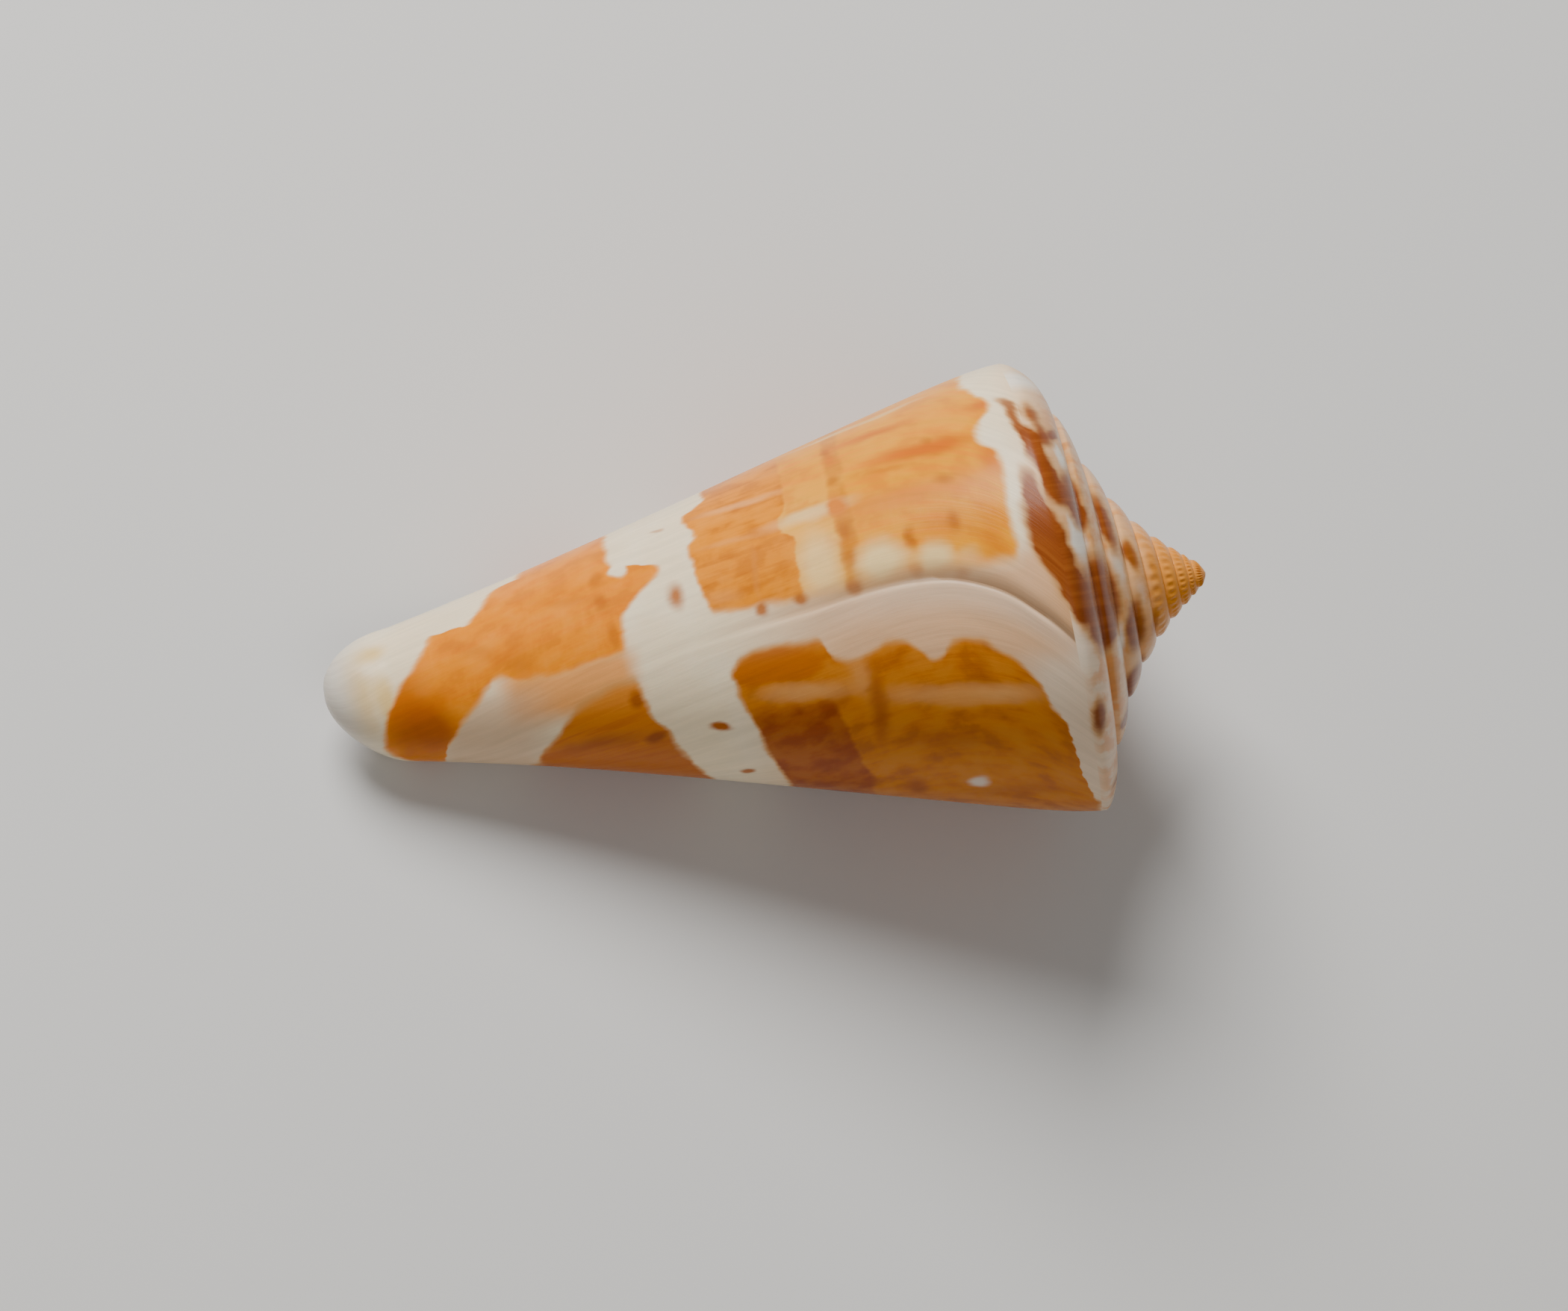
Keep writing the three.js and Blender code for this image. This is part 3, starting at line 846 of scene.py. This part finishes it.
def spot(height, across):
    """Where a mark lies on the unrolled shell, from its place as the eye finds it.

    Nearer parts look larger, so the place is drawn in towards the middle of the view.
    """
    seen = height, across + MIDDLE_LINE
    for _ in range(3):
        depth = body_radius(height, across) * (1 - sideways(height, across) ** 2) ** 0.5
        shrink = 1 - depth * MM / CAMERA_DISTANCE
        height = FRAME_HEIGHT + (seen[0] - FRAME_HEIGHT) * shrink
        across = FRAME_SIDE + (seen[1] - FRAME_SIDE) * shrink
    return height, body_radius(height, across) * math.asin(sideways(height, across))


def edge(value, points, low, high):
    """The course of a marking's edge: reads a curve through points in millimetres."""
    ends = [y for x, y in points]
    base, span = min(ends) - 1, max(ends) - min(ends) + 2
    scaled = [((x - low) / (high - low), (y - base) / span) for x, y in points]
    return float_curve(((value - low) / (high - low)).share(), scaled) * span + base


def side_edge(across, points):
    """An edge that gives the height against the distance across; points are height, across."""
    return edge(across, sorted(spot(height, side)[::-1] for height, side in points), *ACROSS_ENDS)


def long_edge(height, points):
    """An edge that gives the distance across against the height; points are height, across."""
    return edge(height, sorted(spot(at, side) for at, side in points), *HEIGHT_ENDS)


def mark(tree, place, height, across, half_height, half_across, turn, soft, strength):
    """A round or long mark, as strong as given in its middle and 0 outside."""
    inputs = {
        "Vector": place,
        "Location": (*spot(height, across), 0),
        "Rotation": (0, 0, math.radians(turn)),
        "Scale": (half_height, half_across, 1),
    }
    local = add(tree, "ShaderNodeMapping", inputs, vector_type="TEXTURE").outputs[0]
    reach = add(tree, "ShaderNodeVectorMath", [local], operation="LENGTH").outputs["Value"]
    inputs = {"Value": reach, 1: 1 - soft, 2: 1 + soft, 3: strength, 4: 0}
    return Value(tree, add(tree, "ShaderNodeMapRange", inputs, interpolation_type="SMOOTHSTEP").outputs[0])


def marks(tree, place, specs):
    """Marks that merge where they overlap."""
    whole = mark(tree, place, *specs[0])
    for spec in specs[1:]:
        whole = whole + mark(tree, place, *spec)
    return whole


def layer(tree, under, mask, colour):
    """Lays a colour over another where the mask is 1."""
    over = linear(colour) if isinstance(colour, str) else colour
    return add(tree, "ShaderNodeMix", {0: mask, 6: under, 7: over}, data_type="RGBA").outputs[2]


def marked(tree, under, on, specs, colour):
    return layer(tree, under, marks(tree, on.place, specs), colour)


def mottled(tree, colour, blotch, light, dark, strength=0.4):
    """Cloudy light and dark blotches in the pigment."""
    colour = layer(tree, colour, blotch.ease(*LIGHT_BLOTCH) * strength, light)
    return layer(tree, colour, (-blotch).ease(*DARK_BLOTCH) * strength, dark)


def patch(tree, under, mask, rim, fill):
    """A patch of pigment that thins to a paler rim."""
    under = layer(tree, under, mask.ease(*RIM) * RIM_STRENGTH, rim)
    return layer(tree, under, mask.ease(*FILL), fill)


def flamed(tree, colour, flames, streak):
    """Red-brown flames, streaked along the growth lines."""
    brown = layer(tree, linear("8A4418"), streak.ease(0.4, 0.7) * 0.3, "A8642C")
    return patch(tree, colour, flames.share(), "D09A60", brown)


def inside_of(value, low, high, soft):
    """1 between two edges and 0 outside them, with soft borders."""
    return (value - low).ease(-soft, soft) * (high - value).ease(-soft, soft)


def noise(tree, place, scale, detail=3, rough=0.5):
    inputs = {"Vector": place, "Scale": scale, "Detail": detail, "Roughness": rough}
    return Value(tree, add(tree, "ShaderNodeTexNoise", inputs).outputs[0])


def two_noises(tree, place, scale, detail):
    """Two unlike noises around 0 from one texture."""
    inputs = {"Vector": place, "Scale": scale, "Detail": detail}
    made = add(tree, "ShaderNodeTexNoise", inputs).outputs["Color"]
    return [part - 0.5 for part in separated(tree, made)[:2]]


def coil_place(tree):
    """Place on the coil in mm, its height and radius, and the degrees of its growth line and from the front."""
    placed = {
        "Vector": add(tree, "ShaderNodeTexCoord").outputs["Object"],
        "Location": REST_SHIFT * MM,
        "Rotation": (0, -math.radians(APEX_LIFT), 0),
        "Scale": (MM, MM, MM),
    }
    coil = add(tree, "ShaderNodeMapping", placed, vector_type="TEXTURE").outputs[0]
    height, side, back = separated(tree, coil)
    radius = (side * side + back * back) ** 0.5
    angle = side.math("ARCTAN2", back) * math.degrees(1) - VIEW_ANGLE
    turns = (angle - LIP_ANGLE - LIP_SLACK).math("WRAP", 0, -360) / 360
    top = TOP_HEIGHT - TOP_FALL * (turns - TOP_AGE).above(0) ** 2
    advance = lip_course(height / top)
    growth = (angle - advance).math("WRAP", LIP_ANGLE + GROWTH_SLACK, LIP_ANGLE + GROWTH_SLACK - 360)
    return coil, height, radius, growth, growth + advance


def folded(angle):
    """Turns the hidden back of the shell onto the front, so that the markings run on.

    The flank has no seam. The spire has one where the angle starts again, at the lip's top end.
    """
    past_top = (angle - 90).above(0)
    past_foot = (-90 - angle).above(0)
    return angle - past_top * 2 + past_foot * FOOT_FOLD


def surface(tree):
    """All that the pigments follow: smooth places, ragged places, and the noises of the growing shell."""
    coil, height, radius, growth, angle = coil_place(tree)
    across = folded(angle) * math.radians(1) * radius
    grown = growth * math.radians(1) * radius
    # Ragged borders: fine teeth that lie along the growth lines, and slow swings
    teeth = two_noises(tree, vector(tree, height * 0.55, grown * 2.6, radius * 0.2), 1.3, 4)
    swing = two_noises(tree, coil, 0.55, 2)
    ragged_height = height + teeth[0] * 0.22 + swing[0] * 0.7
    ragged_across = across + teeth[1] * 0.2 + swing[1] * 0.7
    return SimpleNamespace(
        height=height,
        radius=radius,
        growth=growth,
        grown=grown,
        ragged_height=ragged_height,
        ragged_across=ragged_across,
        place=vector(tree, ragged_height, ragged_across, 0),
        # Fine streaks along the growing lip, 0.4 mm wide, and spiral bands of about the same width
        streak=noise(tree, vector(tree, height * 0.16, grown * 1.7, 0), 1.6, 5, 0.6),
        bands=noise(tree, vector(tree, height * 1.9, grown * 0.12, 3), 1.5, 4, 0.55),
        cloud=noise(tree, coil, 0.35, 3),
        blotch=noise(tree, vector(tree, height, grown * 1.3, radius), 0.75, 3, 0.5),
    )


def front_pigment(tree, colour, on):
    """Pigment from the front tip to the white band, with painted shade at the tip's end and on the underside,
    and painted light and shade across the lower patch.
    """
    h, a = on.ragged_height, on.ragged_across
    colour = marked(tree, colour, on, TIP_TINTS, "E8C070")
    # Painted shade: grey over the front tip's end, where it rounds away from the light
    colour = layer(tree, colour, (TIP_SHADE_END - on.height).ease(-1.2, 1.2) * 0.85, "CFC8BE")
    front = inside_of(h, side_edge(a, FRONT_LEFT), side_edge(a, FRONT_RIGHT), 0.32)
    front = front * (a - long_edge(h, FRONT_FOOT)).ease(-0.35, 0.35)
    front = front * (1 - marks(tree, on.place, FRONT_WHITE).share())
    peach = inside_of(h, *PEACH_ALONG, 0.7) * inside_of(a, *PEACH_ACROSS, 0.7)
    colour = layer(tree, colour, peach, "EAA05A")
    orange = layer(tree, linear("F08C00"), on.streak.ease(*STREAKS) * 0.6, "DE7400")
    orange = layer(tree, orange, on.bands.ease(0.5, 0.72) * 0.3, "F79410")
    orange = mottled(tree, orange, on.blotch, "F79C34", "C86408", 0.35)
    orange = marked(tree, orange, on, FRONT_DEEP, "BC5E08")
    # Painted shade: a greyish tan wedge on the cream underside between the front and lower patches
    shade = inside_of(h, *SHADE_ALONG, 1.2) * (SHADE_TOP - a).ease(0, 1.2)
    colour = layer(tree, colour, shade * 0.7, "D6AE88")
    colour = patch(tree, colour, front, "EDA860", orange)

    # Lower patch behind it
    lower = (side_edge(a, LOWER_RIGHT) - h).ease(-0.28, 0.28)
    lower = lower * (long_edge(h, LOWER_TOP) - a).ease(-0.5, 0.5) * h.ease(*LOWER_LEFT)
    brown = layer(tree, linear("D87C14"), on.streak.ease(*BROWN_STREAKS) * 0.7, "BC6008")
    # Painted light and shade: the lower patch is lighter above its middle line and darker below it, as the
    # light falls from above
    brown = layer(tree, brown, (a - LOWER_MIDDLE).ease(0, 1.6) * 0.6, "E08C34")
    brown = layer(tree, brown, (LOWER_MIDDLE - a).ease(0, 2) * 0.45, "A85208")
    brown = marked(tree, brown, on, LOWER_DEEP, "964406")
    colour = patch(tree, colour, lower, "D89A58", brown)
    return marked(tree, colour, on, BAND_SPOTS, "B25C06")


def body_pigment(tree, colour, on):
    """Pigment of the last whorl from the white band to the shoulder, with painted shade and a painted highlight
    along the old lip.
    """
    h, a = on.ragged_height, on.ragged_across
    # Broad yellow-orange field up to the shoulder
    field = inside_of(h, FIELD_LEFT, side_edge(a, FIELD_RIGHT), 0.3) * (a - FIELD_FOOT).ease(-0.7, 0.7)
    yellow = layer(tree, linear("F09A00"), on.streak.ease(0.45, 0.65) * 0.6, "E88000")
    strip = inside_of(h, *PALE_STRIP, 0.2) * (PALE_STRIP_TOP - a).ease(-1.5, 2.5)
    yellow = layer(tree, yellow, strip * 0.7, "F4B650")
    yellow = layer(tree, yellow, inside_of(h, *DEEP_STRIP, 0.15) * 0.7, "CC7A0E")
    yellow = mottled(tree, yellow, on.blotch, "F6A628", "DC7800")
    yellow = marked(tree, yellow, on, FIELD_PALE, "F5D494")
    yellow = marked(tree, yellow, on, FIELD_PINK, "DE7E28")
    yellow = marked(tree, yellow, on, FIELD_DEEP, "D46800")
    colour = patch(tree, colour, field, "F0B468", yellow)

    # Block above the old lip, with no rim where it meets the field
    block = inside_of(h, side_edge(a, BLOCK_LEFT), side_edge(a, BLOCK_RIGHT), 0.2)
    block = block * (a - BLOCK_FOOT).ease(-0.35, 0.35)
    deep = layer(tree, linear("EC8C00"), on.streak.ease(*STREAKS) * 0.7, "C06A04")
    deep = mottled(tree, deep, on.blotch, "F69C2C", "B45A04")
    deep = marked(tree, deep, on, BLOCK_PALE, "F2A45C")
    colour = layer(tree, colour, block.ease(*RIM) * (1 - field) * RIM_STRENGTH, "EDA860")
    colour = layer(tree, colour, block.ease(*FILL), deep)

    # Peach tints on the ground beside the old lip and along the shoulder
    warm = on.height.ease(17, 24) * (WARM_TOP - a).ease(0, 1.5)
    colour = layer(tree, colour, warm * (1 - field) * (1 - block) * 0.85, "DDA87A")
    colour = shoulder_tint(tree, colour, on)
    colour = marked(tree, colour, on, SPOTS, "B25C06")

    # Older shell below the old lip
    left = side_edge(a, OLD_LEFT)
    old = (long_edge(h, OLD_TOP) - a).ease(-0.32, 0.32) * (h - left).ease(-0.25, 0.25)
    old = old * (OLD_RIGHT - h).ease(-0.3, 0.3)
    rust = layer(tree, linear("D0780A"), on.streak.ease(*BROWN_STREAKS) * 0.6, "B6620A")
    rust = mottled(tree, rust, on.blotch, "D68A2C", "96480A")
    rust = marked(tree, rust, on, OLD_PALE, "E2A05C")
    rust = marked(tree, rust, on, OLD_DEEP, "A04E08")
    dark = inside_of(h, left, side_edge(a, DARK_RIGHT), 0.15) * (DARK_TOP - a).ease(-0.3, 0.3)
    rust = layer(tree, rust, dark * on.blotch.ease(0.35, 0.6).blend(0.95, 0.6), "9C4404")
    rust = marked(tree, rust, on, OLD_ORANGE, "BE6404")
    colour = patch(tree, colour, old, "D89A58", rust)
    colour = marked(tree, colour, on, OLD_WHITE, "E0D0C0")

    # The old lip: painted grey-brown shade in the groove above it, and a pale painted highlight on its ridge
    past = (on.growth - (LIP_ANGLE + SHELL["Scar age"] * 360)) * math.radians(1) * on.radius
    along = on.height.ease(*SCAR_ALONG) * (SCAR_TOP - on.height).ease(0, 2)
    groove = past.ease(-0.08, 0.1) * (GROOVE_SHADE_WIDTH - past).ease(0, 1.15) * along
    colour = layer(tree, colour, groove * 0.85, "94765A")
    ridge = (0.02 - past).ease(-0.1, 0.1) * (past + RIDGE_HIGHLIGHT_WIDTH).ease(0, 1.5) * along
    colour = layer(tree, colour, ridge * 0.3, "E9DCC8")

    # Flames that run down over the shoulder
    return flamed(tree, colour, marks(tree, on.place, SHOULDER_FLAMES), on.streak)


def shoulder_tint(tree, colour, on):
    """Tan that rises over the shoulder to the spire, and a paler ground below the old lip."""
    colour = layer(tree, colour, on.height.ease(31.4, 34.0) * 0.85, "E2A66C")
    pale = on.height.ease(29.5, 32) * (34.6 - on.height).ease(0, 1) * (-1.5 - on.ragged_across).ease(0, 2)
    return layer(tree, colour, pale * 0.75, "E9D6BC")


def spire_pigment(tree, colour, on):
    """Red-brown flames on cream, and an orange top."""
    colour = shoulder_tint(tree, colour, on)
    tan = on.blotch.ease(0.46, 0.62) * on.height.ease(32.8, 34.2)
    colour = layer(tree, colour, tan * 0.75, "D88C44")
    colour = marked(tree, colour, on, SPIRE_WHITE, "EFE5D4")
    colour = flamed(tree, colour, marks(tree, on.place, FLAMES), on.streak)
    apex = (on.height + (on.cloud - 0.5) * 1.5).ease(*APEX_ORANGE)
    return layer(tree, colour, apex * 0.9, "E08C28")


def new_material(name, finish):
    made = bpy.data.materials.new(name)
    made.use_nodes = True
    shader = made.node_tree.nodes["Principled BSDF"]
    for socket, value in finish.items():
        shader.inputs[socket].default_value = value
    return made, made.node_tree, shader


def glazed_shell(name, pigment):
    """Shell carbonate, laid down smooth by the animal: a soft gloss over cream ground and pigment.

    Light sinks a little way in, which warms the shaded side. Growth lines show as faint streaks
    and as ripples in the gloss.
    """
    made, tree, shader = new_material(name, GLAZE)
    on = surface(tree)
    colour = layer(tree, linear("F6E0BA"), on.cloud.ease(0.4, 0.7) * 0.6, "FAEACC")
    colour = pigment(tree, colour, on)
    lit = on.streak.ease(0.3, 0.7).blend(0.93, 1.05)
    toned = add(tree, "ShaderNodeVectorMath", {0: colour, "Scale": lit}, operation="SCALE").outputs[0]
    tree.links.new(toned, shader.inputs["Base Color"])
    fine = noise(tree, vector(tree, on.height * 0.12, on.grown * 2.2, 0), 3.2, 4, 0.6)
    relief = {"Strength": 0.25, "Distance": 0.06 * MM, "Height": fine * 0.7 + on.bands * 0.3}
    tree.links.new(add(tree, "ShaderNodeBump", relief).outputs[0], shader.inputs["Normal"])
    return made


def inner_shell():
    """Porcelain inside of the aperture: smooth, pale, faintly violet, with light that sinks in."""
    return new_material("inner shell, pale porcelain", {"Base Color": linear("E4DAD6"), **PORCELAIN})[0]


def set_camera():
    """Places the camera, and returns what it looks at and its three directions."""
    facing, side = coil_side(VIEW_ANGLE), coil_side(VIEW_ANGLE + 90)
    tilt = math.radians(AXIS_TILT)
    right = coil_axis() * math.cos(tilt) - side * math.sin(tilt)
    up = coil_axis() * math.sin(tilt) + side * math.cos(tilt)
    centre = coil_point(FRAME_HEIGHT, FRAME_SIDE, VIEW_ANGLE + 90)
    data = bpy.data.cameras.new("view")
    data.lens = LENS_MM
    data.sensor_width = SENSOR_MM
    data.clip_start = 0.01
    camera = new_object("view", data)
    turn = Matrix((right, up, facing)).transposed().to_4x4()
    camera.matrix_world = Matrix.Translation(centre + facing * CAMERA_DISTANCE) @ turn
    bpy.context.scene.camera = camera
    return centre, right, up, facing


def soft_light(name, centre, offset, size, power):
    """A round light that faces the shell; offset and size are in metres."""
    data = bpy.data.lights.new(name, "AREA")
    data.shape = "DISK"
    data.size = size
    data.energy = power
    turn = offset.to_track_quat("Z", "Y").to_matrix().to_4x4()
    new_object(name, data).matrix_world = Matrix.Translation(centre + offset) @ turn


def set_room():
    """Even pale surroundings and a matt paper floor."""
    world = bpy.data.worlds.new("studio")
    world.use_nodes = True
    light = world.node_tree.nodes["Background"].inputs
    light["Color"].default_value = linear("F2F2F2")
    light["Strength"].default_value = ROOM_LIGHT
    bpy.context.scene.world = world
    mesh = bpy.data.meshes.new("floor")
    corners = [(x * FLOOR_HALF, y * FLOOR_HALF, 0) for x, y in ((-1, -1), (1, -1), (1, 1), (-1, 1))]
    mesh.from_pydata(corners, [], [(0, 1, 2, 3)])
    floor = new_object("floor", mesh)
    mesh.materials.append(new_material("floor paper", {"Base Color": linear("DEDCD8"), "Roughness": 0.9})[0])


skins = (
    glazed_shell("glazed shell, front end", front_pigment),
    glazed_shell("glazed shell, body", body_pigment),
    glazed_shell("glazed shell, flamed spire", spire_pigment),
)
shell = grow_shell(skins, inner_shell())
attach(shell, "root")
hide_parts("shell")
centre, right, up, facing = set_camera()
soft_light("window", centre, up * 0.28 + facing * 0.18 - right * 0.07, 0.2, 1.72)
soft_light("fill", centre, facing * 0.3 - up * 0.12 + right * 0.1, 0.3, 0.2)
set_room()
